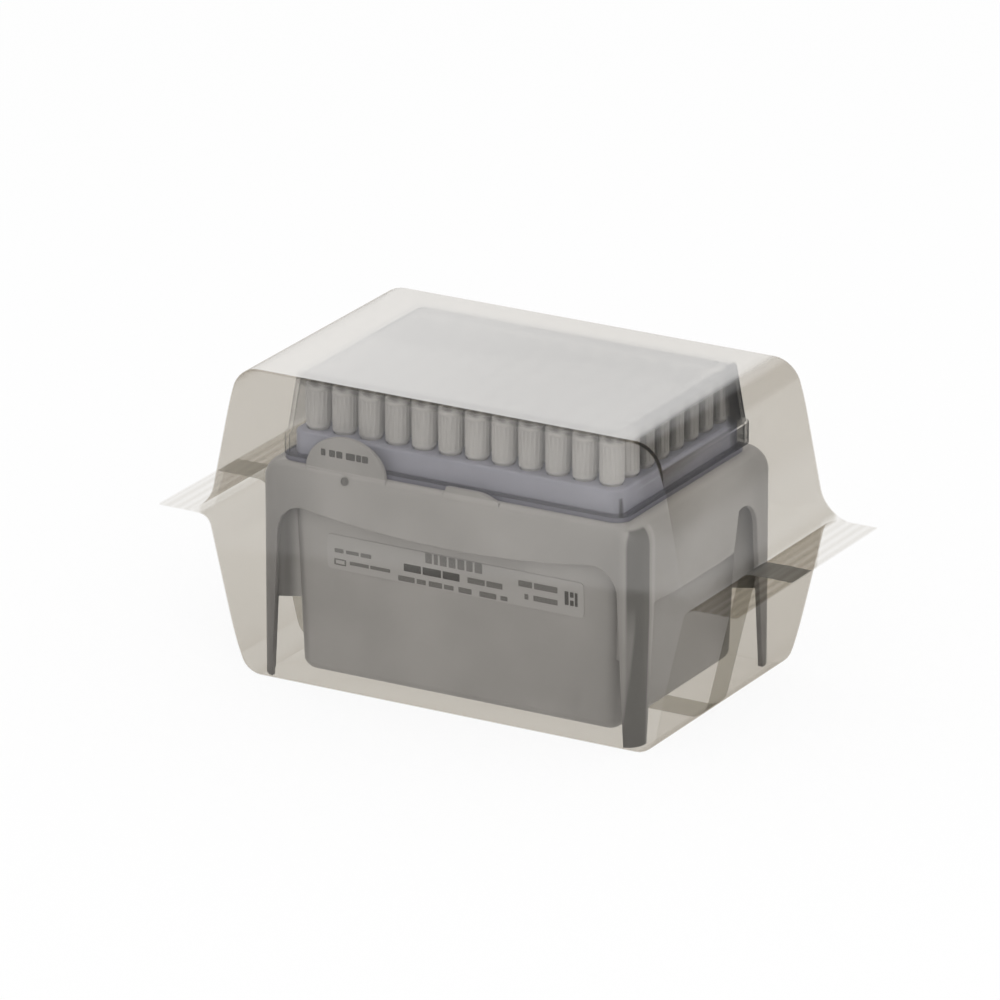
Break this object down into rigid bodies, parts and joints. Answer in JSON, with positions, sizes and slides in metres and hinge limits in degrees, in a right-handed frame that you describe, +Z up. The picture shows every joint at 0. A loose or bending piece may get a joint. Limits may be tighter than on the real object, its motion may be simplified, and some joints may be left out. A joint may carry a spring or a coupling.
{
  "type": "pipette tip box",
  "caption": "Sealed rack box of pipette tips: legged base with tub, tray of tips and clear lid, wrapped in smoky flow-pack film with crimped end seals.",
  "frame": {"origin": "middle of the pack's footprint, on the surface that it stands on", "axes": "+X along the long side towards the right end seal, -Y to the front with the label tab, +Z up"},
  "size_m": [0.1954, 0.087, 0.0967],
  "materials": {
    "film": "thin smoky translucent film, glossy, crimped at its ends",
    "base_plastic": "warm grey moulded polypropylene, fine satin",
    "tray_plastic": "blue-grey moulded polypropylene, satin",
    "lid_plastic": "clear moulded polypropylene, glossy",
    "tip_plastic": "natural translucent polypropylene, satin"
  },
  "bodies": {
    "root": {"base": "base_plastic", "film_wrap": "film", "lid": "lid_plastic", "tip_a1": "tip_plastic", "tip_a10": "tip_plastic", "tip_a11": "tip_plastic", "tip_a12": "tip_plastic", "tip_a2": "tip_plastic", "tip_a3": "tip_plastic", "tip_a4": "tip_plastic", "tip_a5": "tip_plastic", "tip_a6": "tip_plastic", "tip_a7": "tip_plastic", "tip_a8": "tip_plastic", "tip_a9": "tip_plastic", "tip_b1": "tip_plastic", "tip_b10": "tip_plastic", "tip_b11": "tip_plastic", "tip_b12": "tip_plastic", "tip_b2": "tip_plastic", "tip_b3": "tip_plastic", "tip_b4": "tip_plastic", "tip_b5": "tip_plastic", "tip_b6": "tip_plastic", "tip_b7": "tip_plastic", "tip_b8": "tip_plastic", "tip_b9": "tip_plastic", "tip_c1": "tip_plastic", "tip_c12": "tip_plastic", "tip_d1": "tip_plastic", "tip_d12": "tip_plastic", "tip_e1": "tip_plastic", "tip_e12": "tip_plastic", "tip_f1": "tip_plastic", "tip_f12": "tip_plastic", "tip_g1": "tip_plastic", "tip_g10": "tip_plastic", "tip_g11": "tip_plastic", "tip_g12": "tip_plastic", "tip_g2": "tip_plastic", "tip_g3": "tip_plastic", "tip_g4": "tip_plastic", "tip_g5": "tip_plastic", "tip_g6": "tip_plastic", "tip_g7": "tip_plastic", "tip_g8": "tip_plastic", "tip_g9": "tip_plastic", "tip_h1": "tip_plastic", "tip_h10": "tip_plastic", "tip_h11": "tip_plastic", "tip_h12": "tip_plastic", "tip_h2": "tip_plastic", "tip_h3": "tip_plastic", "tip_h4": "tip_plastic", "tip_h5": "tip_plastic", "tip_h6": "tip_plastic", "tip_h7": "tip_plastic", "tip_h8": "tip_plastic", "tip_h9": "tip_plastic", "tray": "tray_plastic"}
  },
  "joints": []
}
